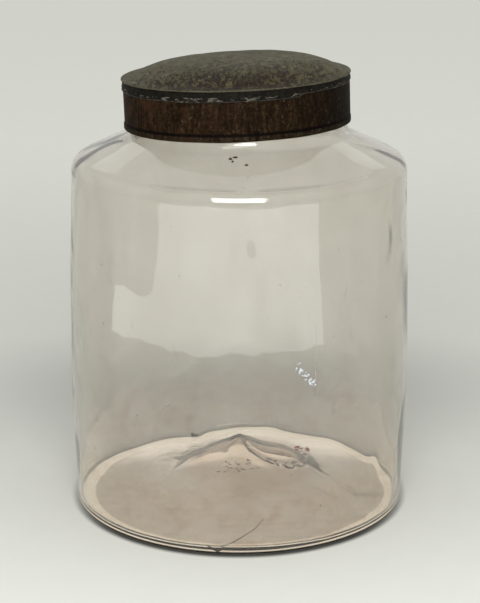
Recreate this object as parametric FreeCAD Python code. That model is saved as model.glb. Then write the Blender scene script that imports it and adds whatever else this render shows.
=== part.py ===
"""Lidded glass canister: a blown glass jar with a soldered tinplate lid.

Millimetres. The origin is on the jar's axis, on the surface that the jar stands on,
and +Z is up. The lid is modelled on the jar's lip plane, which is cut a little out of
square, and then leaned with it.
"""
import FreeCAD
import Part
import math
import os
from FreeCAD import Placement, Rotation, Vector

# Jar body
BODY_RADIUS = 96.2          # outside, at the belly, its widest place
BELLY_HEIGHT = 62.0
CHEST_HEIGHT = 132.0
CHEST_TUCK = 0.9            # how much narrower than the belly the chest is
SHOULDER_HEIGHT = 192.0     # where the upright side ends
SHOULDER_TUCK = 2.9
SHOULDER_ROUND = 9.2
SHOULDER_SLOPE = 25.0       # degrees from level
WALL = 3.0

# Jar foot
HEEL_TUCK = 1.6
HEEL_ROUND = 2.6
INNER_HEEL_ROUND = 3.0      # inside corner between the wall and the floor
FOOT_RING_WIDTH = 8.0       # flat ring that the jar stands on
FLOOR = 3.0                 # thickness of the floor and of the push-up
PUSH_UP_HEIGHT = 31.0       # of the hollow under the floor
PUSH_UP_FLARE = 36.0        # how far the floor runs in before it starts to climb
PUSH_UP_WAIST_RADIUS = 24.0
PUSH_UP_WAIST_HEIGHT = 18.0

# Jar neck
NECK_RADIUS = 59.4          # outside
NECK_ROUND = 7.0            # hollow curve between the shoulder and the neck
NECK_HEIGHT = 25.8          # straight part, up to the lip
LIP_ROUND = 1.2             # fire-polished edges of the lip
LIP_TILT = 2.07             # degrees that the lip plane leans towards -X

# Pontil scar, the broken ring of glass left on the underside of the push-up
SCAR_RADIUS = 18.5
SCAR_WIDTH = 3.2
SCAR_DEPTH = 1.5
SCAR_OFFSET_X = 19.8
SCAR_OFFSET_Y = 6.0

# Lid
TIN = 0.4                   # tinplate thickness
LID_SLACK = 2.3             # radial play between the neck and the band
LID_SHIFT = -1.8            # the lid hangs this far off the neck's middle, along X
SEAT_GAP = 0.3              # between the lip and the underside of the top
HEM_REACH = 0.9             # how far the band hangs past the straight part of the neck
HEM_HEIGHT = 3.0
HEM_FOLD = 0.55             # how far the folded hem stands out of the band
DOME_RISE = 10.1
SEAT_WIDTH = 4.0            # flat margin between the band and the dome
RIM_OVERHANG = 0.9          # how far the rim stands out past the band
RIM_FOLD = 1.2              # height of the rim, a doubled edge of the top
FLANGE_HEIGHT = 4.7         # of the top's turned-down flange, below the rim's upper face
RIDGE_HEIGHT = 2.0          # of the hammered ridge at the flange's lower edge
RIDGE_PROUD = 0.25

# Solder
FILLET_HEIGHT = 0.8         # of the solder under the flange
LAP_WIDTH = 6.0             # overlap of the strip's two ends
LAP_ANGLE = 100.0           # degrees from +X to the lap, at the back
LAP_SOLDER_WIDTH = 0.9

# Sizes that follow from the ones above
HEEL_RADIUS = BODY_RADIUS - HEEL_TUCK
FOOT_RADIUS = HEEL_RADIUS - HEEL_ROUND
FOOT_INNER_RADIUS = FOOT_RADIUS - FOOT_RING_WIDTH
SHOULDER_RADIUS = BODY_RADIUS - SHOULDER_TUCK
BAND_INNER = NECK_RADIUS + LID_SLACK
BAND_OUTER = BAND_INNER + TIN
FLANGE_OUTER = BAND_OUTER + TIN
RIM_RADIUS = BAND_OUTER + RIM_OVERHANG
HEM_BOTTOM = -NECK_HEIGHT - HEM_REACH
RIM_TOP = SEAT_GAP + TIN
FLANGE_BOTTOM = RIM_TOP - RIM_FOLD - FLANGE_HEIGHT

FULL_TURN = 360.0
AXIS = Vector(0, 0, 1)
ORIGIN = Vector(0, 0, 0)
CUT_ALLOWANCE = 5.0         # how far a cutting solid runs past what it cuts


def at(radius, height):
    """A point of a half section, which lies in the XZ plane."""
    return Vector(radius, 0, height)


def chain(points):
    """Straight edges from each point to the next."""
    return [Part.makeLine(a, b) for a, b in zip(points, points[1:])]


def arc_about(centre, radius, from_angle, to_angle):
    """An arc of the half section, by its angles in degrees up from the +X direction."""
    middle = (from_angle + to_angle) / 2
    ends = []
    for angle in (from_angle, middle, to_angle):
        turn = math.radians(angle)
        ends.append(centre + at(radius * math.cos(turn), radius * math.sin(turn)))
    return Part.Arc(*ends).toShape()


def turned(edges):
    """The solid that a closed half section sweeps about the Z axis."""
    face = Part.Face(Part.Wire(Part.__sortEdges__(edges)))
    return face.revolve(ORIGIN, AXIS, FULL_TURN)


def pipe(outer, inner, low, high):
    """An upright ring between two heights."""
    edges = chain([at(inner, low), at(outer, low), at(outer, high), at(inner, high),
                   at(inner, low)])
    return turned(edges)


def neck_centre():
    """Centre of the hollow curve that joins the shoulder's slope to the neck."""
    slope = math.radians(SHOULDER_SLOPE)
    corner_radius = SHOULDER_RADIUS - SHOULDER_ROUND
    reach = corner_radius * math.sin(slope) + SHOULDER_HEIGHT * math.cos(slope)
    reach += SHOULDER_ROUND + NECK_ROUND
    radius = NECK_RADIUS + NECK_ROUND
    height = (reach - radius * math.sin(slope)) / math.cos(slope)
    return at(radius, height)


LIP_HEIGHT = neck_centre().z + NECK_HEIGHT


def wall_edges(inset, heel_height, top):
    """One skin of the jar's wall, from the heel to the lip, this far inside the outside."""
    upper = 90.0 - SHOULDER_SLOPE
    corner = at(SHOULDER_RADIUS - SHOULDER_ROUND, SHOULDER_HEIGHT)
    shoulder_arc = arc_about(corner, SHOULDER_ROUND - inset, 0.0, upper)
    neck_arc = arc_about(neck_centre(), NECK_ROUND + inset, upper - 180.0, -180.0)
    side = Part.BSplineCurve()
    side.interpolate(
        Points=[at(HEEL_RADIUS - inset, heel_height),
                at(BODY_RADIUS - inset, BELLY_HEIGHT),
                at(BODY_RADIUS - CHEST_TUCK - inset, CHEST_HEIGHT),
                at(SHOULDER_RADIUS - inset, SHOULDER_HEIGHT)],
        InitialTangent=AXIS, FinalTangent=AXIS)
    slope = Part.makeLine(shoulder_arc.lastVertex().Point, neck_arc.firstVertex().Point)
    neck = Part.makeLine(neck_arc.lastVertex().Point, at(NECK_RADIUS - inset, top))
    return [side.toShape(), shoulder_arc, slope, neck_arc, neck]


def push_up_edge(radius, height):
    """One skin of the push-up: a mound with a blunt point, from its edge to the axis."""
    curve = Part.BezierCurve()
    curve.setPoles([at(radius, height),
                    at(radius - PUSH_UP_FLARE, height),
                    at(PUSH_UP_WAIST_RADIUS, height + PUSH_UP_WAIST_HEIGHT),
                    at(0, height + PUSH_UP_HEIGHT)])
    return curve.toShape()


def lip_placement():
    """Puts things modelled about the Z axis on the lip plane, leaned with it."""
    return Placement(at(0, LIP_HEIGHT), Rotation(Vector(0, 1, 0), -LIP_TILT))


def glass_jar():
    top = LIP_HEIGHT + CUT_ALLOWANCE
    floor_edge = HEEL_RADIUS - WALL - INNER_HEEL_ROUND
    outer_heel = arc_about(at(FOOT_RADIUS, HEEL_ROUND), HEEL_ROUND, -90.0, 0.0)
    inner_heel = arc_about(at(floor_edge, FLOOR + INNER_HEEL_ROUND), INNER_HEEL_ROUND, -90.0, 0.0)
    edges = chain([at(FOOT_INNER_RADIUS, 0), at(FOOT_RADIUS, 0)])
    edges.append(outer_heel)
    edges += wall_edges(0.0, HEEL_ROUND, top)
    edges += chain([at(NECK_RADIUS, top), at(NECK_RADIUS - WALL, top)])
    edges += wall_edges(WALL, FLOOR + INNER_HEEL_ROUND, top)
    edges.append(inner_heel)
    edges.append(push_up_edge(floor_edge, FLOOR))
    edges += chain([at(0, FLOOR + PUSH_UP_HEIGHT), at(0, PUSH_UP_HEIGHT)])
    edges.append(push_up_edge(FOOT_INNER_RADIUS, 0))
    return sheared(turned(edges))


def sheared(jar):
    """The jar with its lip cut on the leaning plane and its edges fire-polished."""
    side = 2 * (NECK_RADIUS + CUT_ALLOWANCE)
    block = Part.makeBox(side, side, 4 * CUT_ALLOWANCE, Vector(-side / 2, -side / 2, 0))
    block.Placement = lip_placement()
    cut = jar.cut(block).Solids[0]
    normal = block.Placement.Rotation.multVec(AXIS)
    rims = []
    for edge in cut.Edges:
        distances = [abs((v.Point - at(0, LIP_HEIGHT)).dot(normal)) for v in edge.Vertexes]
        if max(distances) < TIN and edge.Length > NECK_RADIUS:
            rims.append(edge)
    return cut.makeFillet(LIP_ROUND, rims)


def pontil_scar():
    """The part of a skin under the push-up that an upright ring cuts out."""
    upper = push_up_edge(FOOT_INNER_RADIUS, 0)
    lower = upper.translated(at(0, -SCAR_DEPTH))
    edges = [upper, lower]
    edges += chain([at(0, PUSH_UP_HEIGHT - SCAR_DEPTH), at(0, PUSH_UP_HEIGHT)])
    edges += chain([at(FOOT_INNER_RADIUS, -SCAR_DEPTH), at(FOOT_INNER_RADIUS, 0)])
    ring = pipe(SCAR_RADIUS, SCAR_RADIUS - SCAR_WIDTH, -CUT_ALLOWANCE,
                PUSH_UP_HEIGHT + CUT_ALLOWANCE)
    ring.translate(Vector(SCAR_OFFSET_X, SCAR_OFFSET_Y, 0))
    return turned(edges).common(ring)


def dome_edge(edge_radius, edge_height):
    """Half of a shallow dome's section, from its edge to the axis."""
    ball = (edge_radius ** 2 + DOME_RISE ** 2) / (2 * DOME_RISE)
    centre = at(0, edge_height + DOME_RISE - ball)
    return arc_about(centre, ball, math.degrees(math.acos(edge_radius / ball)), 90.0)


def lid_top():
    """Domed disc: a doubled rim, then a turned-down flange with a ridge at its edge."""
    fold = RIM_FOLD / 2
    fold_centre = at(RIM_RADIUS - fold, RIM_TOP - fold)
    rim_bottom = RIM_TOP - RIM_FOLD
    dome_radius = BAND_INNER - SEAT_WIDTH
    ridge_outer = FLANGE_OUTER + RIDGE_PROUD
    ridge_top = FLANGE_BOTTOM + RIDGE_HEIGHT
    edges = [dome_edge(dome_radius, RIM_TOP), arc_about(fold_centre, fold, 90.0, -90.0)]
    edges += chain([at(dome_radius, RIM_TOP), at(fold_centre.x, RIM_TOP)])
    edges += chain([at(fold_centre.x, rim_bottom), at(FLANGE_OUTER, rim_bottom),
                    at(FLANGE_OUTER, ridge_top), at(ridge_outer, ridge_top - RIDGE_PROUD),
                    at(ridge_outer, FLANGE_BOTTOM), at(BAND_OUTER, FLANGE_BOTTOM),
                    at(BAND_OUTER, SEAT_GAP), at(dome_radius, SEAT_GAP)])
    edges.append(dome_edge(dome_radius, SEAT_GAP))
    edges += chain([at(0, SEAT_GAP + DOME_RISE), at(0, RIM_TOP + DOME_RISE)])
    return turned(edges)


def lid_band():
    """Strip bent to a ring: a hem folded outwards below, and its ends lapped at the back."""
    hem_outer = BAND_OUTER + HEM_FOLD
    hem_round = (hem_outer - BAND_INNER) / 2
    hem_centre = at(BAND_INNER + hem_round, HEM_BOTTOM + hem_round)
    hem_top = HEM_BOTTOM + HEM_HEIGHT
    edges = [arc_about(hem_centre, hem_round, -180.0, 0.0)]
    edges += chain([at(hem_outer, hem_centre.z), at(hem_outer, hem_top),
                    at(BAND_OUTER, hem_top), at(BAND_OUTER, SEAT_GAP),
                    at(BAND_INNER, SEAT_GAP), at(BAND_INNER, hem_centre.z)])
    return turned(edges).fuse(lap_strip(0.0, LAP_WIDTH)).removeSplitter()


def lap_strip(start, width):
    """An upright strip on the band's outside, this far round from where the lap starts."""
    low = HEM_BOTTOM + HEM_HEIGHT
    high = FLANGE_BOTTOM - FILLET_HEIGHT
    section = chain([at(BAND_OUTER, low), at(FLANGE_OUTER, low), at(FLANGE_OUTER, high),
                     at(BAND_OUTER, high), at(BAND_OUTER, low)])
    face = Part.Face(Part.Wire(section))
    strip = face.revolve(ORIGIN, AXIS, math.degrees(width / BAND_OUTER))
    strip.rotate(ORIGIN, AXIS, LAP_ANGLE + math.degrees(start / BAND_OUTER))
    return strip


def flange_solder():
    """Fillet of solder in the corner between the flange's edge and the band."""
    corner = at(BAND_OUTER, FLANGE_BOTTOM)
    edges = chain([corner, at(FLANGE_OUTER, FLANGE_BOTTOM),
                   at(BAND_OUTER, FLANGE_BOTTOM - FILLET_HEIGHT), corner])
    return turned(edges)


def lap_solder():
    """Run of solder along the free edge of the lap."""
    return lap_strip(LAP_WIDTH, LAP_SOLDER_WIDTH)


def on_the_lip(shape):
    """A lid piece at its place on the jar."""
    shape.Placement = lip_placement().multiply(Placement(Vector(LID_SHIFT, 0, 0), Rotation()))
    return shape


NODES = {
    "glass_jar": glass_jar(),
    "pontil_scar": pontil_scar(),
    "lid_top": on_the_lip(lid_top()),
    "lid_band": on_the_lip(lid_band()),
    "flange_solder": on_the_lip(flange_solder()),
    "lap_solder": on_the_lip(lap_solder()),
}

os.makedirs("parts", exist_ok=True)
for name, shape in NODES.items():
    shape.exportStep(os.path.join("parts", name + ".step"))
    print(name, len(shape.Solids), "solid", shape.isValid(), round(shape.Volume), "mm3")
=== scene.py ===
"""Lidded glass canister: the looks of a hand-blown jar and its old soldered tinplate lid.

Metres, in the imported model's frame: the origin is on the jar's axis where it stands, +Z is
up and -Y is the front. Shapes are worked out in millimetres, as in the CAD, and turned into
metres when a mesh is made. The jar is one closed mesh of glass, outside and inside, with its
seeds as voids in it. The lid's pieces follow the CAD's sizes, dented, worn and rusted.
"""
import math
import random

import bmesh
import bpy
from mathutils import Matrix, Vector, noise
from mathutils.geometry import interpolate_bezier

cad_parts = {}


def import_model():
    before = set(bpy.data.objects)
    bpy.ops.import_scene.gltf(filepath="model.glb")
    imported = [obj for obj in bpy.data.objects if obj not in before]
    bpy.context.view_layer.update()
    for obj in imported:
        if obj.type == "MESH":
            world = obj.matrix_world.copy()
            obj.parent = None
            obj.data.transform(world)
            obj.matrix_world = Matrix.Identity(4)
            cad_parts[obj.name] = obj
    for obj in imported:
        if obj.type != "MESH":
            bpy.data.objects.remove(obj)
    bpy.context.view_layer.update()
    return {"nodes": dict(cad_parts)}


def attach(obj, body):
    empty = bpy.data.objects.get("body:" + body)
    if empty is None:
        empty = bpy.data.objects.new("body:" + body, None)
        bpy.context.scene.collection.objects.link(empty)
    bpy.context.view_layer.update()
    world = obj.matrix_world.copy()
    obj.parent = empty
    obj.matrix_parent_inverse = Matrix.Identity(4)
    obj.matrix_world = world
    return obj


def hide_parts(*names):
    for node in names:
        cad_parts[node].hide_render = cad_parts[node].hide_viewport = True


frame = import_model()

MM = 0.001

# The jar, in millimetres as in the CAD
BODY_RADIUS = 96.2
BELLY_HEIGHT = 62.0
CHEST_HEIGHT = 132.0
CHEST_RADIUS = 95.3
SHOULDER_HEIGHT = 192.0
SHOULDER_RADIUS = 93.3
SHOULDER_ROUND = 9.2
SHOULDER_SLOPE = math.radians(25.0)
WALL = 3.0
HEEL_RADIUS = 94.6
HEEL_ROUND = 2.6
INNER_HEEL_ROUND = 3.0
FOOT_RING_WIDTH = 8.0
FLOOR = 3.0
PUSH_UP_HEIGHT = 31.0
PUSH_UP_FLARE = 36.0
PUSH_UP_WAIST = (24.0, 18.0)
NECK_RADIUS = 59.4
NECK_ROUND = 7.0
NECK_HEIGHT = 25.8
LIP_ROUND = 1.2
LIP_TILT = math.radians(2.07)
SCAR_CENTRE = (19.8, 6.0)
SCAR_RADIUS = 18.5
SCAR_WIDTH = 3.2
SCAR_DEPTH = 1.5

# The lid, in its own frame: about the Z axis, with the lip plane at 0
TIN = 0.4
LID_SLACK = 2.3
LID_SHIFT = -1.8
SEAT_GAP = 0.3
SEAT_WIDTH = 4.0
HEM_REACH = 0.9
HEM_HEIGHT = 3.0
HEM_FOLD = 0.55
DOME_RISE = 10.1
DOME_FULLNESS = 1.9  # how far the dome stands over a round one between middle and edge
CROWN_DENT = 1.7  # and how far its middle has been pressed in
RIM_OVERHANG = 0.9
RIM_FOLD = 1.2
FLANGE_HEIGHT = 4.7
RIDGE_HEIGHT = 2.0
RIDGE_PROUD = 0.25
FILLET_HEIGHT = 0.8
LAP_ANGLE = math.radians(100.0)
LAP_WIDTH = 6.0

BAND_INNER = NECK_RADIUS + LID_SLACK
BAND_OUTER = BAND_INNER + TIN
FLANGE_OUTER = BAND_OUTER + TIN
RIM_RADIUS = BAND_OUTER + RIM_OVERHANG
HEM_BOTTOM = -NECK_HEIGHT - HEM_REACH
RIM_TOP = SEAT_GAP + TIN
FLANGE_BOTTOM = RIM_TOP - RIM_FOLD - FLANGE_HEIGHT
FOOT_RADIUS = HEEL_RADIUS - HEEL_ROUND
FOOT_INNER_RADIUS = FOOT_RADIUS - FOOT_RING_WIDTH
FLOOR_EDGE = HEEL_RADIUS - WALL - INNER_HEEL_ROUND

# What the hand that made it, and the years, did
SHOULDER_DIP = 1.8  # how much lower the shoulder sits at the front
BULGE_CENTRE = (27.0, 3.0)  # the punty pushed the mound out on this side
BULGE_REACH = 13.0
BULGE_RISE = 5.0
STEP_CENTRE = (0.0, -25.0)  # a second, lower fold in front of the mound
STEP_REACH = 13.0
STEP_RISE = 3.6
FOLD_CENTRE = (0.0, -11.0)  # and the broken edge along that fold, whose chips also stand in for its glint
FOLD_RADIUS = 17.0
UNEVEN_CENTRE = (8.0, -4.0)  # the mound's smaller lumps
UNEVEN_REACH = 34.0
UNEVEN_RISE = 0.9
SHIFT_FADE = (50.0, 80.0)  # the push-up runs true again between these radii
KINK_ANGLE = math.radians(-59.0)  # the flange's edge is cut short from here round to the right
KINK_LIFT = 1.5
KINK_START = (0.0, 0.06)  # radians past the kink over which the edge rises
KINK_FINISH = (1.9, 2.3)  # and over which it comes down again

# Waves in a surface are (height, size, seed). Curtains add the range over which they set in.
INNER_WAVES = ((0.28, 34.0, 2), (0.09, 14.0, 3))
OUTER_WAVES = ((0.22, 60.0, 4), (0.05, 18.0, 5))
CURTAINS = ((0.30, 85.0, 7, -0.035, 0.035), (0.22, 55.0, 9, 0.17, 0.22))
SCAR_RAGGED = ((0.9, 3.4, 21), (0.5, 1.3, 22))
LID_DENTS = ((0.45, 30.0, 61), (0.28, 9.0, 62))
FLAT_FOOT = 8.0  # the outside's waves fade out in this height above the foot
TRUE_NECK = 6.0  # and all waves in this height above the neck's base
DIP_STARTS = (150.0, 190.0)  # the shoulder's dip sets in between these heights
DIP_ENDS = (196.0, 214.0)  # and ends between these

SEED_COUNT = 150
SEED_SIZES = (0.16, 0.2, 0.2, 0.26, 0.34)
SEED_HEIGHTS = (22.0, 186.0)
FLAKE_COUNT = 34  # in the bruise
SCRATCH_COUNT = 26
SCRATCH_GIRTHS = (0.02, 0.06, 0.07, 0.05, 0.02)
SPECK_SIZES = (0.16, 0.2, 0.25, 0.34)
SCAR_CHIPS = 34
FOLD_CHIPS = 36
CRACK_STEPS = 24
CRACK_GIRTHS = (0.62, 0.16)  # at the front edge and at its far end

SAME_POINT = 0.01  # points of an outline nearer than this are one
ROUND_STEPS = 224  # round the jar
LID_STEPS = 448  # round the lid
SIDE_STEPS = 54  # along each part of the jar's outline
SHOULDER_STEPS = 12
SLOPE_STEPS = 14
NECK_STEPS = 9
LIP_STEPS = 5
FOOT_STEPS = 5
HEEL_STEPS = 8
INNER_HEEL_STEPS = 12
UNDER_STEPS = 92
OVER_STEPS = 60


# -------- outlines (radius, height)

def arc(centre, radius, start, end, steps):
    """Points along an arc, by its angles in radians up from outwards."""
    out = []
    for i in range(steps + 1):
        a = start + (end - start) * i / steps
        out.append((centre[0] + radius * math.cos(a), centre[1] + radius * math.sin(a)))
    return out


def line(a, b, steps):
    return [(a[0] + (b[0] - a[0]) * i / steps, a[1] + (b[1] - a[1]) * i / steps)
            for i in range(steps + 1)]


def bezier(poles, steps):
    """Points along a cubic with these four poles."""
    knots = [Vector((p[0], p[1], 0)) for p in poles]
    return [(p.x, p.y) for p in interpolate_bezier(*knots, steps + 1)]


def joined(*runs):
    """One outline of several runs, without the points that they share."""
    out = []
    for run in runs:
        for p in run:
            if not out or math.dist(out[-1], p) > SAME_POINT:
                out.append(p)
    return out


def side_curve(inset, heel_height, steps):
    """The upright side, through the heel, belly, chest and shoulder."""
    knots = [(HEEL_RADIUS, heel_height), (BODY_RADIUS, BELLY_HEIGHT),
             (CHEST_RADIUS, CHEST_HEIGHT), (SHOULDER_RADIUS, SHOULDER_HEIGHT)]
    belly_slope = (CHEST_RADIUS - HEEL_RADIUS) / (CHEST_HEIGHT - heel_height)
    chest_slope = (SHOULDER_RADIUS - BODY_RADIUS) / (SHOULDER_HEIGHT - BELLY_HEIGHT)
    slopes = [0.0, belly_slope, chest_slope, 0.0]
    out = []
    for (r0, z0), (r1, z1), s0, s1 in zip(knots, knots[1:], slopes, slopes[1:]):
        third = (z1 - z0) / 3
        poles = [(r0 - inset, z0), (r0 - inset + s0 * third, z0 + third),
                 (r1 - inset - s1 * third, z1 - third), (r1 - inset, z1)]
        out += bezier(poles, steps // 3)
    return joined(out)


def neck_centre():
    """Centre of the hollow curve between the shoulder's slope and the neck."""
    reach = (SHOULDER_RADIUS - SHOULDER_ROUND) * math.sin(SHOULDER_SLOPE)
    reach += SHOULDER_HEIGHT * math.cos(SHOULDER_SLOPE) + SHOULDER_ROUND + NECK_ROUND
    radius = NECK_RADIUS + NECK_ROUND
    return radius, (reach - radius * math.sin(SHOULDER_SLOPE)) / math.cos(SHOULDER_SLOPE)


NECK_BASE = neck_centre()[1]
LIP_HEIGHT = NECK_BASE + NECK_HEIGHT


def wall_outline(inset, heel_height):
    """One skin of the wall from the heel to where the lip starts to round over."""
    upper = math.pi / 2 - SHOULDER_SLOPE
    corner = (SHOULDER_RADIUS - SHOULDER_ROUND, SHOULDER_HEIGHT)
    shoulder = arc(corner, SHOULDER_ROUND - inset, 0.0, upper, SHOULDER_STEPS)
    neck = arc(neck_centre(), NECK_ROUND + inset, upper - math.pi, -math.pi, NECK_STEPS)
    slope = line(shoulder[-1], neck[0], SLOPE_STEPS)
    top = (NECK_RADIUS - inset, LIP_HEIGHT - LIP_ROUND)
    return joined(side_curve(inset, heel_height, SIDE_STEPS), shoulder, slope, neck,
                  line(neck[-1], top, NECK_STEPS))


def push_up(radius, height, steps):
    """One skin of the push-up, from its edge to the axis."""
    return bezier([(radius, height), (radius - PUSH_UP_FLARE, height),
                   (PUSH_UP_WAIST[0], height + PUSH_UP_WAIST[1]),
                   (0.0, height + PUSH_UP_HEIGHT)], steps)


UNDER_MOUND = push_up(FOOT_INNER_RADIUS, 0.0, UNDER_STEPS)
OVER_MOUND = push_up(FLOOR_EDGE, FLOOR, OVER_STEPS)


def jar_outlines():
    """(outside, inside): from the axis under the push-up out and up to the middle of the lip,
    and from there down and in to the axis over the push-up."""
    lip = arc((NECK_RADIUS - LIP_ROUND, LIP_HEIGHT - LIP_ROUND), LIP_ROUND,
              0.0, math.pi / 2, LIP_STEPS)
    inner_lip = arc((NECK_RADIUS - WALL + LIP_ROUND, LIP_HEIGHT - LIP_ROUND), LIP_ROUND,
                    math.pi / 2, math.pi, LIP_STEPS)
    outside = joined(
        UNDER_MOUND[::-1],
        line((FOOT_INNER_RADIUS, 0.0), (FOOT_RADIUS, 0.0), FOOT_STEPS),
        arc((FOOT_RADIUS, HEEL_ROUND), HEEL_ROUND, -math.pi / 2, 0.0, HEEL_STEPS),
        wall_outline(0.0, HEEL_ROUND), lip)
    inner_heel = arc((FLOOR_EDGE, FLOOR + INNER_HEEL_ROUND), INNER_HEEL_ROUND,
                     0.0, -math.pi / 2, INNER_HEEL_STEPS)
    inside = joined(inner_lip, wall_outline(WALL, FLOOR + INNER_HEEL_ROUND)[::-1],
                    inner_heel, OVER_MOUND)
    return outside, inside


# -------- mesh helpers

def wave(point, size, seed):
    """Smooth noise from -1 to 1 whose lumps are about size millimetres across."""
    return noise.noise(Vector(point) / size + Vector((seed * 7.31, seed * 3.17, seed * 5.23)))


def waves(point, layers):
    """The sum of several waves (height, size, seed)."""
    return sum(height * wave(point, size, seed) for height, size, seed in layers)


def smoothstep(low, high, x):
    t = min(1.0, max(0.0, (x - low) / (high - low)))
    return t * t * (3 - 2 * t)


def mound(x, y, centre, reach):
    """1 at the centre, falling smoothly to nearly 0 two reaches away."""
    return math.exp(-((x - centre[0]) ** 2 + (y - centre[1]) ** 2) / reach ** 2)


def new_object(name, mesh):
    obj = bpy.data.objects.new(name, mesh)
    bpy.context.scene.collection.objects.link(obj)
    return obj


def new_mesh(name, vertices, faces):
    """A smooth-shaded mesh from points in millimetres."""
    mesh = bpy.data.meshes.new(name)
    mesh.from_pydata([tuple(c * MM for c in v) for v in vertices], [], faces)
    mesh.update()
    mesh.shade_smooth()
    return mesh


def outline_normals(outline):
    """Unit normals along an outline, on its right hand side."""
    out = []
    for i in range(len(outline)):
        a = outline[max(0, i - 1)]
        b = outline[min(len(outline) - 1, i + 1)]
        dr, dz = b[0] - a[0], b[1] - a[1]
        size = math.hypot(dr, dz)
        out.append((dz / size, -dr / size))
    return out


def turned(name, outline, steps, moved, closed=False):
    """A mesh swept about Z from an outline. moved(r, z, angle, i) gives the point to use.
    Points that lie on the axis become single vertices."""
    vertices, rings = [], []
    for i, (r, z) in enumerate(outline):
        count = 1 if r < SAME_POINT else steps
        rings.append(list(range(len(vertices), len(vertices) + count)))
        for j in range(count):
            vertices.append(moved(r, z, 2 * math.pi * j / steps, i))
    faces = []
    pairs = list(zip(rings, rings[1:]))
    if closed:
        pairs.append((rings[-1], rings[0]))
    for low, high in pairs:
        for j in range(steps):
            k = (j + 1) % steps
            if len(low) == 1:
                faces.append((low[0], high[k], high[j]))
            elif len(high) == 1:
                faces.append((low[j], low[k], high[0]))
            else:
                faces.append((low[j], low[k], high[k], high[j]))
    return new_mesh(name, vertices, faces)


def tube(points, radii, sides=6):
    """Vertices and faces of a closed thin tube along points, with a radius at each."""
    vertices, faces = [], []
    for i, p in enumerate(points):
        along = Vector(points[min(i + 1, len(points) - 1)]) - Vector(points[max(i - 1, 0)])
        across = along.orthogonal().normalized()
        other = along.normalized().cross(across)
        for j in range(sides):
            a = 2 * math.pi * j / sides
            spoke = across * math.cos(a) + other * math.sin(a)
            vertices.append(tuple(Vector(p) + spoke * radii[i]))
    for i in range(len(points) - 1):
        for j in range(sides):
            k = (j + 1) % sides
            faces.append((i * sides + j, i * sides + k, (i + 1) * sides + k, (i + 1) * sides + j))
    last = (len(points) - 1) * sides
    faces.append(tuple(reversed(range(sides))))
    faces.append(tuple(last + j for j in range(sides)))
    return vertices, faces


def marked(mesh, name, values):
    """The mesh, with a named value at each of its points for its material."""
    mask = mesh.attributes.new(name, "FLOAT", "POINT")
    for item, value in zip(mask.data, values):
        item.value = value
    return mesh


def gathered(name, parts):
    """One mesh of several (vertices, faces)."""
    vertices, faces = [], []
    for more_vertices, more_faces in parts:
        start = len(vertices)
        vertices += more_vertices
        faces += [tuple(start + i for i in face) for face in more_faces]
    return new_mesh(name, vertices, faces)


def lump(centre, radii, turn, seed, roughness, detail=2):
    """Vertices and faces of a closed rough pebble, turned about Z."""
    bm = bmesh.new()
    bmesh.ops.create_icosphere(bm, subdivisions=detail, radius=1.0)
    spin = Matrix.Rotation(turn, 3, "Z")
    vertices = []
    for v in bm.verts:
        grown = v.co * (1 + roughness * wave(v.co, 0.6, seed))
        scaled = Vector((grown.x * radii[0], grown.y * radii[1], grown.z * radii[2]))
        vertices.append(tuple(Vector(centre) + spin @ scaled))
    faces = [tuple(v.index for v in f.verts) for f in bm.faces]
    bm.free()
    return vertices, faces


# -------- materials

def material(name):
    """A new material: (material, its nodes, its links, its Principled shader)."""
    mat = bpy.data.materials.new(name)
    mat.use_nodes = True
    nodes, links = mat.node_tree.nodes, mat.node_tree.links
    return mat, nodes, links, nodes["Principled BSDF"]


def plug(links, value, socket):
    """Links value to socket, or sets it there if it is a number or a colour."""
    if isinstance(value, bpy.types.NodeSocket):
        links.new(value, socket)
    elif isinstance(value, tuple) and len(value) == 3 and len(socket.default_value) == 4:
        socket.default_value = (*value, 1.0)
    else:
        socket.default_value = value


def noise_node(nodes, links, vector, scale, detail=4.0, roughness=0.55, distortion=0.0):
    node = nodes.new("ShaderNodeTexNoise")
    node.inputs["Scale"].default_value = scale
    node.inputs["Detail"].default_value = detail
    node.inputs["Roughness"].default_value = roughness
    node.inputs["Distortion"].default_value = distortion
    links.new(vector, node.inputs["Vector"])
    return node.outputs["Fac"]


def ramp(nodes, links, fac, stops):
    """A colour ramp: stops are (position, grey or (r, g, b))."""
    node = nodes.new("ShaderNodeValToRGB")
    elements = node.color_ramp.elements
    while len(elements) < len(stops):
        elements.new(0.5)
    for element, (position, colour) in zip(elements, stops):
        element.position = position
        rgb = colour if isinstance(colour, tuple) else (colour,) * 3
        element.color = (*rgb, 1.0)
    links.new(fac, node.inputs["Fac"])
    return node.outputs["Color"]


def mix(nodes, links, fac, a, b, blend="MIX"):
    """a and b are colours or sockets, fac a number or socket."""
    node = nodes.new("ShaderNodeMix")
    node.data_type = "RGBA"
    node.blend_type = blend
    plug(links, fac, node.inputs[0])
    plug(links, a, node.inputs[6])
    plug(links, b, node.inputs[7])
    return node.outputs[2]


def maths(nodes, links, operation, a, b=0.0):
    node = nodes.new("ShaderNodeMath")
    node.operation = operation
    plug(links, a, node.inputs[0])
    plug(links, b, node.inputs[1])
    return node.outputs[0]


def mapped(nodes, links, value, low, high, to_low=0.0, to_high=1.0):
    """value from low..high to to_low..to_high, smoothly and clamped."""
    node = nodes.new("ShaderNodeMapRange")
    node.interpolation_type = "SMOOTHSTEP"
    links.new(value, node.inputs["Value"])
    node.inputs["From Min"].default_value = low
    node.inputs["From Max"].default_value = high
    node.inputs["To Min"].default_value = to_low
    node.inputs["To Max"].default_value = to_high
    return node.outputs["Result"]


def bump(nodes, links, shader, height, strength, distance):
    node = nodes.new("ShaderNodeBump")
    node.inputs["Strength"].default_value = strength
    node.inputs["Distance"].default_value = distance
    links.new(height, node.inputs["Height"])
    links.new(node.outputs["Normal"], shader.inputs["Normal"])


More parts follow.
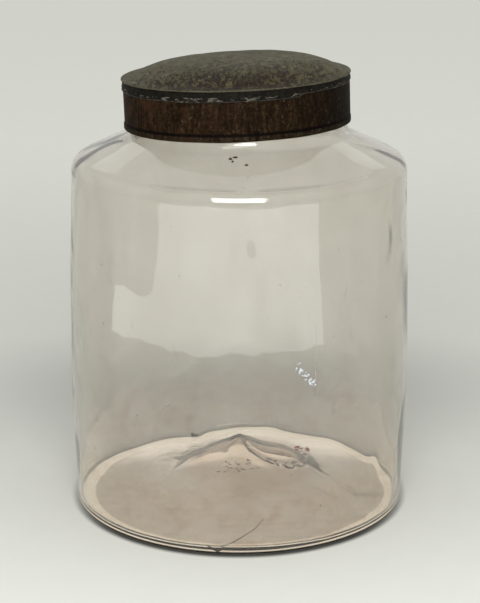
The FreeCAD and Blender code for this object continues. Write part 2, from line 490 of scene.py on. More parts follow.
def coordinates(nodes):
    return nodes.new("ShaderNodeTexCoord").outputs["Object"]


def stretched(nodes, links, vector, scale, place=(0.0, 0.0, 0.0)):
    node = nodes.new("ShaderNodeMapping")
    node.inputs["Scale"].default_value = scale
    node.inputs["Location"].default_value = place
    links.new(vector, node.inputs["Vector"])
    return node.outputs["Vector"]


def attribute(nodes, name):
    """A value that a mesh holds for each of its points."""
    node = nodes.new("ShaderNodeAttribute")
    node.attribute_name = name
    return node.outputs["Fac"]


def parts_of(nodes, links, vector):
    node = nodes.new("ShaderNodeSeparateXYZ")
    links.new(vector, node.inputs["Vector"])
    return node.outputs


def distance(nodes, links, vector, scale, place=(0.0, 0.0, 0.0)):
    """How far a place lies from the origin, once it has been scaled and moved."""
    length = nodes.new("ShaderNodeVectorMath")
    length.operation = "LENGTH"
    links.new(stretched(nodes, links, vector, scale, place), length.inputs[0])
    return length.outputs["Value"]


def off_axis(nodes, links, vector, shift=0.0):
    """Distance from the upright line at x = shift millimetres."""
    return distance(nodes, links, vector, (1.0, 1.0, 0.0), (-shift * MM, 0.0, 0.0))


FOOT_SHADE_HEIGHTS = (0.030, 0.046)  # the painted brown shade on the foot fades out between these heights
MOUND_SHADE_REACH = (0.030, 0.044)  # and the painted shade over the mound's thick glass between these distances
MOUND_SHADE_SHIFT = 5.0  # from a line this many millimetres right of the axis
DARKER_SHOULDER = (0.165, 0.182)  # the glass is tinted a little darker from between these heights upwards


def clear_glass():
    """Faintly purple-brown old glass with a thin, uneven film of dirt, painted brown shade on
    the foot and over the thick mound, and a slightly darker tint above the shoulder.
    """
    mat, nodes, links, shader = material("blown_glass")
    shader.inputs["Roughness"].default_value = 0.0
    shader.inputs["IOR"].default_value = 1.5
    shader.inputs["Transmission Weight"].default_value = 0.95
    where = coordinates(nodes)
    height = parts_of(nodes, links, where)["Z"]
    upright = stretched(nodes, links, where, (1.0, 1.0, 0.35))
    wipes = noise_node(nodes, links, upright, 34.0, 5.0, 0.6)
    film_and_shade = ramp(nodes, links, wipes, [(0.35, (0.97, 0.955, 0.93)), (0.60, (0.925, 0.905, 0.87)),
                                      (0.75, (0.87, 0.84, 0.79))])
    # painted shade: the glass of the foot is tinted browner, in clouds
    low = mapped(nodes, links, height, *FOOT_SHADE_HEIGHTS, 1.0, 0.0)
    across = stretched(nodes, links, where, (1.0, 2.2, 1.6))
    clouds = noise_node(nodes, links, across, 75.0, 5.0, 0.6, 0.8)
    brown = ramp(nodes, links, clouds, [(0.36, (1.0, 0.99, 0.97)), (0.52, (0.98, 0.945, 0.90)),
                                        (0.68, (0.90, 0.82, 0.75))])
    film_and_shade = mix(nodes, links, low, film_and_shade, mix(nodes, links, 1.0, film_and_shade, brown, "MULTIPLY"))
    # painted shade: darker brown over the mound's thick glass
    mound_shade = mapped(nodes, links, off_axis(nodes, links, where, MOUND_SHADE_SHIFT), *MOUND_SHADE_REACH, 0.85, 0.0)
    mound_shade = maths(nodes, links, "MULTIPLY", mound_shade, low)
    darker = mix(nodes, links, 1.0, film_and_shade, (0.84, 0.75, 0.67), "MULTIPLY")
    film_and_shade = mix(nodes, links, mound_shade, film_and_shade, darker)
    # the glass is tinted a little darker above the shoulder
    upper = mapped(nodes, links, height, *DARKER_SHOULDER)
    darker_above = mix(nodes, links, 1.0, film_and_shade, (0.965, 0.965, 0.96), "MULTIPLY")
    film_and_shade = mix(nodes, links, upper, film_and_shade, darker_above)
    links.new(film_and_shade, shader.inputs["Base Color"])
    ripple = noise_node(nodes, links, where, 70.0, 0.0)
    bump(nodes, links, shader, ripple, 0.05, 0.001)
    absorb = nodes.new("ShaderNodeVolumeAbsorption")
    absorb.inputs["Color"].default_value = (0.50, 0.36, 0.20, 1.0)
    absorb.inputs["Density"].default_value = 35.0
    links.new(absorb.outputs["Volume"], nodes["Material Output"].inputs["Volume"])
    return mat


def rough_glass():
    """Broken glass of the scar and the bruises: grey-brown, sharp and sparkling."""
    mat, nodes, links, shader = material("broken_glass")
    where = coordinates(nodes)
    grain = noise_node(nodes, links, where, 700.0, 5.0, 0.7)
    shader.inputs["IOR"].default_value = 1.5
    shader.inputs["Roughness"].default_value = 0.18
    shader.inputs["Transmission Weight"].default_value = 0.6
    colour = ramp(nodes, links, grain, [(0.38, (0.13, 0.105, 0.085)), (0.52, (0.42, 0.36, 0.31)),
                                        (0.66, (0.92, 0.89, 0.84))])
    links.new(colour, shader.inputs["Base Color"])
    bump(nodes, links, shader, grain, 0.8, 0.0008)
    return mat


def white_flaw_and_reflection():
    """Crushed glass inside a bruise, which scatters the light; it also colours the white line
    painted over the bruise as a reflection.
    """
    mat, nodes, links, shader = material("crushed_glass_and_reflection")
    grain = noise_node(nodes, links, coordinates(nodes), 1200.0, 4.0)
    colour = ramp(nodes, links, grain, [(0.35, (0.42, 0.45, 0.51)), (0.6, (0.80, 0.83, 0.88))])
    links.new(colour, shader.inputs["Base Color"])
    shader.inputs["Roughness"].default_value = 0.35
    bump(nodes, links, shader, grain, 0.5, 0.0003)
    return mat


def stain(name, dark, light):
    """Dry dirt, rust crumbs or wax, mottled between two colours."""
    mat, nodes, links, shader = material(name)
    grain = noise_node(nodes, links, coordinates(nodes), 900.0, 4.0)
    links.new(ramp(nodes, links, grain, [(0.35, dark), (0.65, light)]), shader.inputs["Base Color"])
    shader.inputs["Roughness"].default_value = 0.8
    shader.inputs["Specular IOR Level"].default_value = 0.3
    bump(nodes, links, shader, grain, 0.5, 0.0003)
    return mat


def lid_top_material():
    """Olive-brown lacquer, streaked, with rust pits that crowd near the front edge, and a thin
    pale line painted along the rim as its highlight."""
    mat, nodes, links, shader = material("aged_lid_top")
    where = coordinates(nodes)
    deep = stretched(nodes, links, where, (1.0, 0.40, 1.0))
    grain = noise_node(nodes, links, deep, 260.0, 8.0, 0.70)
    lacquer = ramp(nodes, links, grain, [(0.32, (0.034, 0.027, 0.013)), (0.45, (0.064, 0.053, 0.027)),
                                         (0.57, (0.096, 0.083, 0.043)), (0.70, (0.160, 0.140, 0.078))])
    blotch = noise_node(nodes, links, where, 38.0, 4.0, 0.6, 0.4)
    faded = mix(nodes, links, mapped(nodes, links, blotch, 0.40, 0.62, 0.0, 0.65), lacquer,
                (0.055, 0.047, 0.018))
    flakes = noise_node(nodes, links, deep, 430.0, 5.0, 0.72, 0.8)
    front = mapped(nodes, links, parts_of(nodes, links, where)["Y"], -0.066, 0.010, 0.130, -0.030)
    level = maths(nodes, links, "ADD", flakes, front)
    pitted = mapped(nodes, links, level, 0.57, 0.62)
    rust = ramp(nodes, links, grain, [(0.35, (0.009, 0.006, 0.004)), (0.6, (0.030, 0.017, 0.009))])
    old = mix(nodes, links, pitted, faded, rust)
    # painted highlight: a thin pale line along the rim's edge
    edge = mapped(nodes, links, off_axis(nodes, links, where, LID_SHIFT), 0.0626, 0.0631, 0.0, 0.8)
    links.new(mix(nodes, links, edge, old, (0.115, 0.100, 0.070)), shader.inputs["Base Color"])
    shader.inputs["Roughness"].default_value = 0.55
    shader.inputs["Specular IOR Level"].default_value = 0.12
    height = maths(nodes, links, "SUBTRACT", grain, pitted)
    bump(nodes, links, shader, height, 0.7, 0.0006)
    return mat


def flange_material():
    """Near-black flange whose hammered ridge has lost its lacquer in grey chips."""
    mat, nodes, links, shader = material("chipped_flange")
    where = coordinates(nodes)
    grain = noise_node(nodes, links, where, 420.0, 5.0, 0.65)
    dark = ramp(nodes, links, grain, [(0.35, (0.0030, 0.0026, 0.0018)), (0.65, (0.0125, 0.0105, 0.0075))])
    flat = stretched(nodes, links, where, (1.0, 1.0, 2.4))
    chips = noise_node(nodes, links, flat, 330.0, 4.0, 0.6)
    broken = maths(nodes, links, "MULTIPLY", attribute(nodes, "worn"), 0.34)
    broken = maths(nodes, links, "ADD", chips, broken)
    worn = mapped(nodes, links, broken, 0.75, 0.82)
    bare = ramp(nodes, links, grain, [(0.35, (0.060, 0.054, 0.043)), (0.65, (0.150, 0.136, 0.112))])
    links.new(mix(nodes, links, worn, dark, bare), shader.inputs["Base Color"])
    shader.inputs["Roughness"].default_value = 0.6
    shader.inputs["Specular IOR Level"].default_value = 0.04
    bump(nodes, links, shader, maths(nodes, links, "ADD", grain, worn), 0.4, 0.0003)
    return mat


def lid_band_material():
    """Dark brown lacquer that has run and worn in upright streaks, redder on the left, with painted
    shade in the groove above the hem and a lighter hem, partly rubbed and partly painted highlight.
    """
    mat, nodes, links, shader = material("aged_lid_band")
    where = coordinates(nodes)
    tall = stretched(nodes, links, where, (1.0, 1.0, 0.26))
    streak = noise_node(nodes, links, tall, 430.0, 6.0, 0.68)
    mottle = noise_node(nodes, links, where, 640.0, 5.0, 0.70)
    streak = maths(nodes, links, "ADD", maths(nodes, links, "MULTIPLY", streak, 0.5),
                   maths(nodes, links, "MULTIPLY", mottle, 0.5))
    base = ramp(nodes, links, streak, [(0.38, (0.004, 0.0022, 0.0008)), (0.50, (0.014, 0.0075, 0.003)),
                                       (0.62, (0.040, 0.024, 0.011))])
    along = parts_of(nodes, links, where)["X"]
    left = mapped(nodes, links, along, -0.055, 0.020, 0.75, 0.10)
    patch = noise_node(nodes, links, where, 70.0, 5.0, 0.65)
    rusty = maths(nodes, links, "MULTIPLY", mapped(nodes, links, patch, 0.47, 0.62), left)
    warm = mix(nodes, links, rusty, base, (0.038, 0.016, 0.008))
    warm = mix(nodes, links, mapped(nodes, links, along, 0.010, 0.055, 0.0, 0.65), warm,
               (0.004, 0.003, 0.002))
    specks = noise_node(nodes, links, stretched(nodes, links, where, (1.0, 1.0, 0.45)), 620.0, 4.0, 0.7)
    bare = mapped(nodes, links, specks, 0.63, 0.70, 0.0, 0.8)
    flecked = mix(nodes, links, bare, warm, (0.085, 0.072, 0.056))
    # painted shade: the groove above the hem is painted near black
    groove_shaded = mix(nodes, links, attribute(nodes, "groove_shade"), flecked, (0.0015, 0.001, 0.001))
    # partly rubbed lacquer and partly painted highlight: the hem's outside is lighter in patches
    rubbed_and_lit = mapped(nodes, links, streak, 0.42, 0.60)
    crest_highlight = maths(nodes, links, "MULTIPLY", attribute(nodes, "crest_highlight"), rubbed_and_lit)
    links.new(mix(nodes, links, crest_highlight, groove_shaded, (0.032, 0.024, 0.015)), shader.inputs["Base Color"])
    shader.inputs["Roughness"].default_value = 0.6
    shader.inputs["Specular IOR Level"].default_value = 0.02
    bump(nodes, links, shader, maths(nodes, links, "ADD", streak, specks), 0.45, 0.0004)
    return mat


def solder_material():
    mat, nodes, links, shader = material("dull_solder")
    grain = noise_node(nodes, links, coordinates(nodes), 400.0, 4.0)
    base = ramp(nodes, links, grain, [(0.38, (0.008, 0.006, 0.004)), (0.56, (0.028, 0.022, 0.016)),
                                      (0.72, (0.11, 0.095, 0.078))])
    shader.inputs["Metallic"].default_value = 0.2
    shader.inputs["Roughness"].default_value = 0.6
    shader.inputs["Specular IOR Level"].default_value = 0.2
    links.new(base, shader.inputs["Base Color"])
    bump(nodes, links, shader, grain, 0.4, 0.0003)
    return mat


# -------- the jar

def push_up_shift(x, y):
    """How far the push-up is out of true here: the scar's bulge and the fold in front."""
    rise = BULGE_RISE * mound(x, y, BULGE_CENTRE, BULGE_REACH)
    rise += STEP_RISE * mound(x, y, STEP_CENTRE, STEP_REACH)
    lumps = UNEVEN_RISE * wave((x, y, 0), 17.0, 11)
    return rise + lumps * mound(x, y, UNEVEN_CENTRE, UNEVEN_REACH)


def mound_height(skin, x, y):
    """Height at a place of one skin of the push-up, under it or over it."""
    r = math.hypot(x, y)
    for (r0, z0), (r1, z1) in zip(skin, skin[1:]):
        if r1 <= r <= r0:
            share = (r0 - r) / (r0 - r1)
            return z0 + (z1 - z0) * share + push_up_shift(x, y) * (1.0 - smoothstep(*SHIFT_FADE, r))
    return 0.0


def scar_drop(x, y):
    """How far the scar's broken ring stands down from the underside of the push-up."""
    off = math.hypot(x - SCAR_CENTRE[0], y - SCAR_CENTRE[1])
    ridge = math.exp(-((off - SCAR_RADIUS + SCAR_WIDTH / 2) / (SCAR_WIDTH / 2)) ** 2)
    ragged = 0.75 + waves((x, y, 0), SCAR_RAGGED)
    return SCAR_DEPTH * ridge * max(0.0, ragged)


def shoulder_drop(angle, z):
    """How much lower the front of the shoulder sits here, by the angle round from +X."""
    front = max(0.0, -math.sin(angle)) ** 2
    return SHOULDER_DIP * front * smoothstep(*DIP_STARTS, z) * (1.0 - smoothstep(*DIP_ENDS, z))


SIDE = side_curve(0.0, HEEL_ROUND, SIDE_STEPS)


def side_radius(height):
    """Radius of the outside of the jar's side."""
    for (r0, z0), (r1, z1) in zip(SIDE, SIDE[1:]):
        if z0 <= height <= z1:
            return r0 + (r1 - r0) * (height - z0) / (z1 - z0)
    return BODY_RADIUS


def curtains(at):
    """Thicker folds of glass on the inside, with soft edges that follow smooth contours."""
    return sum(depth * smoothstep(low, high, wave(at, size, seed))
               for depth, size, seed, low, high in CURTAINS)


def jar_skin():
    """(vertices, faces) of the whole glass skin, as one closed surface."""
    outside, inside = jar_outlines()
    outline = joined(outside, inside)
    normals = outline_normals(outline)

    def moved(r, z, angle, i):
        inner = i >= len(outside)
        x, y = r * math.cos(angle), r * math.sin(angle)
        at = (x, y, z)
        if inner:
            swell = waves(at, INNER_WAVES) - curtains(at)
        else:
            swell = waves(at, OUTER_WAVES) * smoothstep(0.0, FLAT_FOOT, z)
        swell *= 1.0 - smoothstep(NECK_BASE, NECK_BASE + TRUE_NECK, z)
        r2 = r + swell * normals[i][0]
        z2 = z + swell * normals[i][1]
        x, y = r2 * math.cos(angle), r2 * math.sin(angle)
        if r < FOOT_INNER_RADIUS and z < FLOOR + PUSH_UP_HEIGHT + 1.0:
            z2 += push_up_shift(x, y) * (1.0 - smoothstep(*SHIFT_FADE, r))
            if not inner:
                z2 -= scar_drop(x, y)
        z2 -= shoulder_drop(angle, z)
        lean = smoothstep(NECK_BASE, LIP_HEIGHT, z)
        return (x, y, z2 + lean * math.tan(LIP_TILT) * x)

    mesh = turned("skin", outline, ROUND_STEPS, moved)
    vertices = [tuple(v.co / MM) for v in mesh.vertices]
    faces = [tuple(p.vertices) for p in mesh.polygons]
    bpy.data.meshes.remove(mesh)
    return vertices, faces


def seeds():
    """Small bubbles in the middle of the wall, drawn out upwards, as inside-out pebbles."""
    rng = random.Random(5)
    out = []
    for i in range(SEED_COUNT):
        angle = rng.uniform(0, 2 * math.pi)
        height = rng.uniform(*SEED_HEIGHTS)
        size = rng.choice(SEED_SIZES)
        tall = size * rng.uniform(1.2, 2.6)
        radius = side_radius(height) - WALL / 2
        centre = (radius * math.cos(angle), radius * math.sin(angle), height)
        vertices, faces = lump(centre, (size, size, tall), 0.0, i, 0.0, 1)
        out.append((vertices, [tuple(reversed(f)) for f in faces]))
    return out


def on_wall(angle, height, out=0.0):
    """A point on the outside of the jar's side, by its angle round from the front."""
    radius = side_radius(height) + out
    return (radius * math.sin(angle), -radius * math.cos(angle), height)


def bruise_and_reflection():
    """A cluster of white flakes in the front wall, with a fine upright white line over it that
    is a painted reflection of a window's edge.
    """
    rng = random.Random(17)
    parts = []
    for i in range(FLAKE_COUNT):
        share = rng.random()
        angle = math.radians(19.0 + 5.5 * share + rng.gauss(0, 0.5))
        height = 104.0 - 10.0 * share + rng.gauss(0, 1.0)
        size = rng.uniform(0.2, 0.8)
        radii = (size, 0.28, size * rng.uniform(0.5, 1.3))
        parts.append(lump(on_wall(angle, height), radii, angle, i, 0.9))
    # painted reflection: a thin white upright line, a window's edge mirrored in the wall
    upright = [on_wall(math.radians(24.5 + 0.12 * math.sin(k)), 96.0 + 3.2 * k, -0.3)
               for k in range(11)]
    parts.append(tube(upright, [0.03] + [0.13] * 9 + [0.03]))
    return gathered("bruise_and_reflection", parts)


def scratches():
    """Short fine scratches, scattered over the outside."""
    rng = random.Random(8)
    parts = []
    for _ in range(SCRATCH_COUNT):
        angle = rng.uniform(0, 2 * math.pi)
        height = rng.uniform(40.0, 180.0)
        slant = rng.uniform(-0.5, 0.5)
        length = rng.uniform(3.0, 11.0)
        points = [on_wall(angle + slant * length * t / BODY_RADIUS, height + length * t)
                  for t in (0.0, 0.25, 0.5, 0.75, 1.0)]
        parts.append(tube(points, SCRATCH_GIRTHS, 4))
    return gathered("scratches", parts)


def dust(count, low, high, seed):
    """Fine specks stuck to the inside of the wall."""
    rng = random.Random(seed)
    parts = []
    for i in range(count):
        angle = rng.uniform(0, 2 * math.pi)
        size = rng.choice(SPECK_SIZES)
        place = on_wall(angle, rng.triangular(low, high, low), -WALL)
        parts.append(lump(place, (size, size, size * rng.uniform(0.8, 1.8)), 0.0, i, 0.5, 1))
    return gathered("dust", parts)


def crack():
    """A stained crack through the foot, from the front edge up towards the push-up, with a
    short second crack at its start."""
    start, end = Vector((-11.7, -93.2, 2.2)), Vector((13.5, -58.5, 5.0))
    points, radii = [], []
    for k in range(CRACK_STEPS + 1):
        t = k / CRACK_STEPS
        p = start.lerp(end, t)
        p.x += 1.1 * wave((p.x, p.y, 0), 7.0, 31) + 2.2 * math.sin(math.pi * t)
        p.z = start.z + 3.2 * t ** 1.6
        points.append(tuple(p))
        radii.append(CRACK_GIRTHS[0] + (CRACK_GIRTHS[1] - CRACK_GIRTHS[0]) * t)
    tick = [(-17.6, -93.0, 5.8), (-14.8, -93.4, 3.9), (-11.7, -93.4, 2.3)]
    return gathered("crack", [tube(points, radii), tube(tick, [0.12, 0.60, 0.50])])


def crumbs(places, seed):
    """Rough flat crumbs at (x, y, z, size)."""
    rng = random.Random(seed)
    parts = []
    for i, (x, y, z, size) in enumerate(places):
        radii = (size * rng.uniform(0.8, 1.3), size * rng.uniform(0.5, 0.9), size * 0.45)
        parts.append(lump((x, y, z), radii, rng.uniform(0, math.pi), seed + i, 0.7))
    return gathered("crumbs", parts)


def shoulder_point(angle, radius):
    """A point on the shoulder's slope, by its angle round from the front."""
    run = radius - NECK_RADIUS - NECK_ROUND
    top = NECK_BASE - NECK_ROUND * math.cos(SHOULDER_SLOPE)
    height = top - run * math.tan(SHOULDER_SLOPE)
    height -= shoulder_drop(angle - math.pi / 2, height)
    return (radius * math.sin(angle), -radius * math.cos(angle), height)


def scar_shards():
    """Sharp chips of glass left standing round the scar and along the fold, seen through
    the mound; the chips along the fold also stand in for its glint, as painted highlight.
    Each arc is (centre, radius, start and end angle, width, size of its chips)."""
    rng = random.Random(41)
    parts = []
    arcs = [(SCAR_CENTRE, SCAR_RADIUS, -1.9, 1.0, SCAR_WIDTH, 1.0)] * SCAR_CHIPS
    arcs += [(FOLD_CENTRE, FOLD_RADIUS, -2.6, -0.5, 3 * SCAR_WIDTH, 0.55)] * FOLD_CHIPS
    for i, (middle, radius, start, end, width, share) in enumerate(arcs):
        a = rng.uniform(start, end)
        off = radius - rng.uniform(0.3, width)
        x = middle[0] + off * math.cos(a)
        y = middle[1] + off * math.sin(a)
        size = share * rng.uniform(0.4, 1.2)
        radii = (size * 1.6, size * 0.42, size * 0.5)
        z = mound_height(UNDER_MOUND, x, y) - 0.5
        parts.append(lump((x, y, z), radii, a + math.pi / 2 + rng.uniform(-0.5, 0.5), i, 0.9, 2))
    return gathered("shards", parts)


def jar_piece(name, mesh, mat, slot, *nodes):
    piece = new_object(name, mesh)
    piece.data.materials.append(mat)
    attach(piece, "jar")
    if nodes:
        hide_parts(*nodes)


jar_piece("blown_jar", gathered("jar", [jar_skin()] + seeds()), clear_glass(), "clear_glass",
          "glass_jar")
BROKEN = rough_glass()
jar_piece("scar_chips", scar_shards(), BROKEN, "scar_glass", "pontil_scar")
FLAW_AND_REFLECTION = white_flaw_and_reflection()
jar_piece("fine_scratches", scratches(), BROKEN, "scar_glass")
BROWN = stain("brown_stain", (0.020, 0.012, 0.008), (0.085, 0.060, 0.045))
RED = stain("red_wax", (0.14, 0.010, 0.012), (0.36, 0.040, 0.040))
jar_piece("foot_crack", crack(), BROWN, "scar_glass")
jar_piece("wall_bruise_and_reflection", bruise_and_reflection(), FLAW_AND_REFLECTION, "scar_glass")
jar_piece("pale_dust", dust(130, 14.0, 150.0, 51), FLAW_AND_REFLECTION, "scar_glass")
jar_piece("dark_dust", dust(45, 20.0, 190.0, 52), BROWN, "scar_glass")
NEAR_LID = [(math.radians(-3.6), 69.5, 1.3), (math.radians(-1.6), 68.3, 1.1),
            (math.radians(-2.6), 71.5, 0.9), (math.radians(3.0), 74.0, 1.0)]
FALLEN = [(*shoulder_point(a, r), size) for a, r, size in NEAR_LID]
FALLEN += [(-28.8, 85.6, 4.2, 2.4), (-25.6, 86.6, 3.9, 1.2)]  # in the corner of the heel
jar_piece("rust_crumbs", crumbs(FALLEN, 3), BROWN, "scar_glass")
WAX = [(x, y, mound_height(OVER_MOUND, x, y), size)
       for x, y, size in [(35.0, 40.3, 2.2), (38.0, 39.3, 1.4), (41.8, 38.0, 2.4)]]
jar_piece("red_specks", crumbs(WAX, 9), RED, "scar_glass")

# -------- the lid

RIM_WAVE = ((0.16, 8.0, 63),)  # the rim's outline, and its edge's height
RIM_LIFT = ((0.13, 11.0, 64),)
HAMMERED = ((0.20, 4.2, 65), (0.12, 1.7, 66))
OUT_OF_ROUND = ((0.10, 16.0, 71),)
HEM_WAVE = ((0.14, 6.0, 72),)
HEM_SAG = ((0.18, 15.0, 73),)
SOLDER_LUMPS = ((0.55, 5.0, 81), (0.3, 1.9, 82))
BEAD_OFFSET = 0.28
BEAD_RADIUS = 0.42
OVERLAP = 0.05  # pieces that are soldered reach this far into each other

LEAN = Matrix.Translation((0, 0, LIP_HEIGHT)) @ Matrix.Rotation(-LIP_TILT, 4, "Y")
LEAN = LEAN @ Matrix.Translation((LID_SHIFT, 0, 0))


def on_the_lip(x, y, z):
    """A point of the lid's frame at its place on the jar."""
    return tuple(LEAN @ Vector((x, y, z)))


def edge_lift(angle):
    """How far the flange's lower edge is cut short here."""
    past = (angle - KINK_ANGLE) % (2 * math.pi)
    return KINK_LIFT * smoothstep(*KINK_START, past) * (1.0 - smoothstep(*KINK_FINISH, past))


def dome_arc(edge_radius, edge_height, steps):
    """Half of a shallow dome, from its edge to the axis."""
    ball = (edge_radius ** 2 + DOME_RISE ** 2) / (2 * DOME_RISE)
    centre = (0.0, edge_height + DOME_RISE - ball)
    return arc(centre, ball, math.acos(edge_radius / ball), math.pi / 2, steps)


def dents(x, y):
    """Shallow dents of the domed top, which is fuller than a round dome, most so on the right."""
    off = math.hypot(x, y)
    edge = 1.0 - smoothstep(48.0, 60.0, off)
    share = min(1.0, off / BAND_INNER) ** 2
    full = DOME_FULLNESS * (1.0 + 0.30 * x / BAND_INNER) * 4.0 * share * (1.0 - share)
    full -= CROWN_DENT * (1.0 - smoothstep(15.0, 48.0, off))
    return full + edge * waves((x, y, 0), LID_DENTS)


def lid_disc():
    """Domed disc with a folded rim, its upper and lower skins."""
    fold = RIM_FOLD / 2
    dome_radius = BAND_INNER - SEAT_WIDTH
    outline = joined(
        dome_arc(dome_radius, SEAT_GAP, 34)[::-1],
        line((dome_radius, SEAT_GAP), (BAND_OUTER, SEAT_GAP), 3),
        line((BAND_OUTER, SEAT_GAP), (BAND_OUTER, RIM_TOP - RIM_FOLD), 2),
        arc((RIM_RADIUS - fold, RIM_TOP - fold), fold, -math.pi / 2, math.pi / 2, 10),
        line((RIM_RADIUS - fold, RIM_TOP), (dome_radius, RIM_TOP), 6),
        dome_arc(dome_radius, RIM_TOP, 46))

    def moved(r, z, angle, _):
        x, y = r * math.cos(angle), r * math.sin(angle)
        at_rim = smoothstep(58.0, 62.0, r)
        grow = 1 + at_rim * waves((x, y, 0), RIM_WAVE) / 60.0
        lift = dents(x, y) + at_rim * waves((x, y, 0), RIM_LIFT)
        return on_the_lip(x * grow, y * grow, z + lift)

    return turned("disc", outline, LID_STEPS, moved)


def lid_flange():
    """The top's turned-down flange, with the hammered ridge along its lower edge."""
    top = RIM_TOP - RIM_FOLD + OVERLAP
    ridge_top = FLANGE_BOTTOM + RIDGE_HEIGHT
    proud = FLANGE_OUTER + RIDGE_PROUD
    outline = joined(
        line((BAND_OUTER + 0.02, top), (BAND_OUTER + 0.02, FLANGE_BOTTOM), 3),
        line((proud, FLANGE_BOTTOM), (proud, ridge_top - RIDGE_PROUD), 7),
        line((FLANGE_OUTER, ridge_top), (FLANGE_OUTER, top), 6))
    worn = []

    def moved(r, z, angle, _):
        x, y = r * math.cos(angle), r * math.sin(angle)
        depth = (top - z) / (top - FLANGE_BOTTOM)
        on_ridge = smoothstep(0.52, 0.66, depth) if r > FLANGE_OUTER - 0.1 else 0.0
        out = on_ridge * waves((x, y, z), HAMMERED)
        worn.append(on_ridge * (0.55 + 0.45 * wave((x, y, 0), 9.0, 67)))
        grow = 1 + out / 62.0
        return on_the_lip(x * grow, y * grow, z + depth * edge_lift(angle))

    return marked(turned("flange", outline, LID_STEPS, moved, closed=True), "worn", worn)


def lid_skirt():
    """The band: a strip with its ends lapped at the back and a hem folded out below."""
    hem_outer = BAND_OUTER + HEM_FOLD
    hem_round = (hem_outer - BAND_INNER) / 2
    hem_centre = (BAND_INNER + hem_round, HEM_BOTTOM + hem_round)
    hem_top = HEM_BOTTOM + HEM_HEIGHT
    outline = joined(
        line((BAND_INNER, SEAT_GAP - OVERLAP), (BAND_INNER, hem_centre[1]), 12),
        arc(hem_centre, hem_round, math.pi, 2 * math.pi, 8),
        line((hem_outer, hem_centre[1]), (hem_outer, hem_top - 0.5), 4),
        line((BAND_OUTER + 0.1, hem_top), (BAND_OUTER, SEAT_GAP - OVERLAP), 26))
    lap_turn = LAP_WIDTH / BAND_OUTER
    groove_shade, crest_highlight = [], []

    def moved(r, z, angle, _):
        x, y = r * math.cos(angle), r * math.sin(angle)
        low = smoothstep(hem_top + 1.0, HEM_BOTTOM, z)
        out = waves((x, y, z), OUT_OF_ROUND) + low * waves((x, y, 0), HEM_WAVE)
        past = (angle - LAP_ANGLE) % (2 * math.pi)
        in_band = hem_top + 0.3 < z < FLANGE_BOTTOM - FILLET_HEIGHT
        outside = r > BAND_INNER + TIN / 2
        if past < lap_turn and outside and in_band:
            out += TIN
        grow = 1 + out / BAND_OUTER
        drop = low * waves((x, y, 0), HEM_SAG)
        # where the groove above the hem gets its painted shade
        groove_shade.append(0.9 if outside and hem_top - 0.1 < z < hem_top + 1.2 else 0.0)
        # where the hem's painted highlight goes
        crest_highlight.append(0.6 if outside and z < hem_top - 0.3 else 0.0)
        return on_the_lip(x * grow, y * grow, z + drop)

    mesh = turned("skirt", outline, LID_STEPS, moved, closed=True)
    return marked(marked(mesh, "groove_shade", groove_shade), "crest_highlight", crest_highlight)


def solder_bead():
    """The uneven fillet of solder under the flange's edge."""
    middle = (BAND_OUTER + BEAD_OFFSET, FLANGE_BOTTOM - BEAD_OFFSET)
    outline = arc(middle, BEAD_RADIUS, 0.0, 2 * math.pi, 10)[:-1]

    def moved(r, z, angle, _):
        x, y = r * math.cos(angle), r * math.sin(angle)
        swell = 1.0 + waves((x, y, 0), SOLDER_LUMPS)
        r2 = middle[0] + (r - middle[0]) * swell
        z2 = middle[1] + (z - middle[1]) * swell + edge_lift(angle)
        return on_the_lip(r2 * math.cos(angle), r2 * math.sin(angle), z2)

    return turned("bead", outline, LID_STEPS, moved, closed=True)


def lid_piece(name, mesh, mat, slot, *nodes):
    piece = new_object(name, mesh)
    piece.data.materials.append(mat)
    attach(piece, "lid")
    if nodes:
        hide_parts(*nodes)


SOLDER = solder_material()
lid_piece("lid_disc", lid_disc(), lid_top_material(), "lid_top_tin", "lid_top")
lid_piece("lid_flange", lid_flange(), flange_material(), "lid_top_tin")
lid_piece("lid_skirt", lid_skirt(), lid_band_material(), "lid_band_tin", "lid_band")
lid_piece("solder_bead", solder_bead(), SOLDER, "solder", "flange_solder")
seam = frame["nodes"]["lap_solder"]
seam.data.materials.clear()
seam.data.materials.append(SOLDER)

# -------- stage, lamps, camera

FLOOR_SIDE = 12.0
NEAR_FLOOR = (-0.30, 0.12)  # painted shade: the floor gets darker from here to here, front to back
FAR_FLOOR = (0.15, 1.20)  # and lighter again
WIDE_SHADE = ((3.4, 6.5, 1.0), (0.0, -1.15, 0.0))  # shades behind the jar: (scale, place)
CLOSE_SHADE = ((7.0, 6.5, 1.0), (0.0, -1.25, 0.0))
LIT_UNDER_JAR = (0.0905, 0.0930)  # radii between which the painted light on the floor under the jar ends
CONTACT_SHADE = (0.0945, 0.0990)  # and the dark line round the foot
GATHERED_LIGHT = (0.080, 0.089)  # and the painted light that the glass seems to gather
CARD_LIGHT = 2.35
CARD_HEIGHT = 12.0  # in millimetres
CARD_START = math.radians(-84.0)  # round from the front
CARD_LOW_END = math.radians(-56.0)  # the card is narrow up to here
CARD_END = math.radians(51.0)
CARD_INNER = 0.445  # its radii, narrow and full
CARD_NARROW = 0.66
CARD_FULL = 1.08
TARGET = (0.0, 0.0, 0.15)  # where the key lamps point
HIGH_TARGET = (0.0, 0.0, 0.2)  # and the ones behind
CAMERA_PLACE = (0.00055, -0.8803, 0.3690)
CAMERA_TILT = math.radians(90.0 - 16.16)
CAMERA_LENS = 95.86


def seen(nodes, links):
    """1 for rays from the camera, reflected or sent through glass, 0 for light that falls."""
    path = nodes.new("ShaderNodeLightPath").outputs
    either = maths(nodes, links, "MAXIMUM", path["Is Camera Ray"], path["Is Glossy Ray"])
    return maths(nodes, links, "MAXIMUM", either, path["Is Transmission Ray"])


